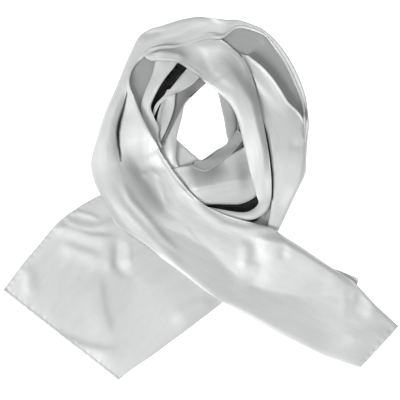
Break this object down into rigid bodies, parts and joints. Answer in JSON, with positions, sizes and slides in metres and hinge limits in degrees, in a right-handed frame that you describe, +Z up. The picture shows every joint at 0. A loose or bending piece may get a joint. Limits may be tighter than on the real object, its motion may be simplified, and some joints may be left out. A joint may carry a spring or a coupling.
{
  "type": "evening stole",
  "caption": "Long satin evening stole laid flat: folded lengthwise, wound once into a pleated neck loop, with its two tails crossed.",
  "frame": {"origin": "centre of the bounding box's bottom face, on the surface the stole lies on", "axes": "+Z up from the surface, +Y from the crossing of the tails towards the top of the loop, +X towards the tail that lies on top, the right of the picture"},
  "size_m": [0.672, 0.616, 0.0411],
  "materials": {
    "satin": "smooth silver-grey satin with a soft sheen"
  },
  "bodies": {
    "root": {"left_tail": "satin", "left_tail_panel": "satin", "hidden_layers": "satin", "rim_lining": "satin", "right_lining": "satin", "right_pleat": "satin", "neck_pleat_low": "satin", "lower_turn": "satin", "neck_pleat_back": "satin", "neck_pleat_leaf": "satin", "neck_pleat_slope": "satin", "neck_pleat_front": "satin", "right_turn": "satin", "inner_turn": "satin", "outer_turn": "satin", "right_tail_panel": "satin"}
  },
  "joints": []
}
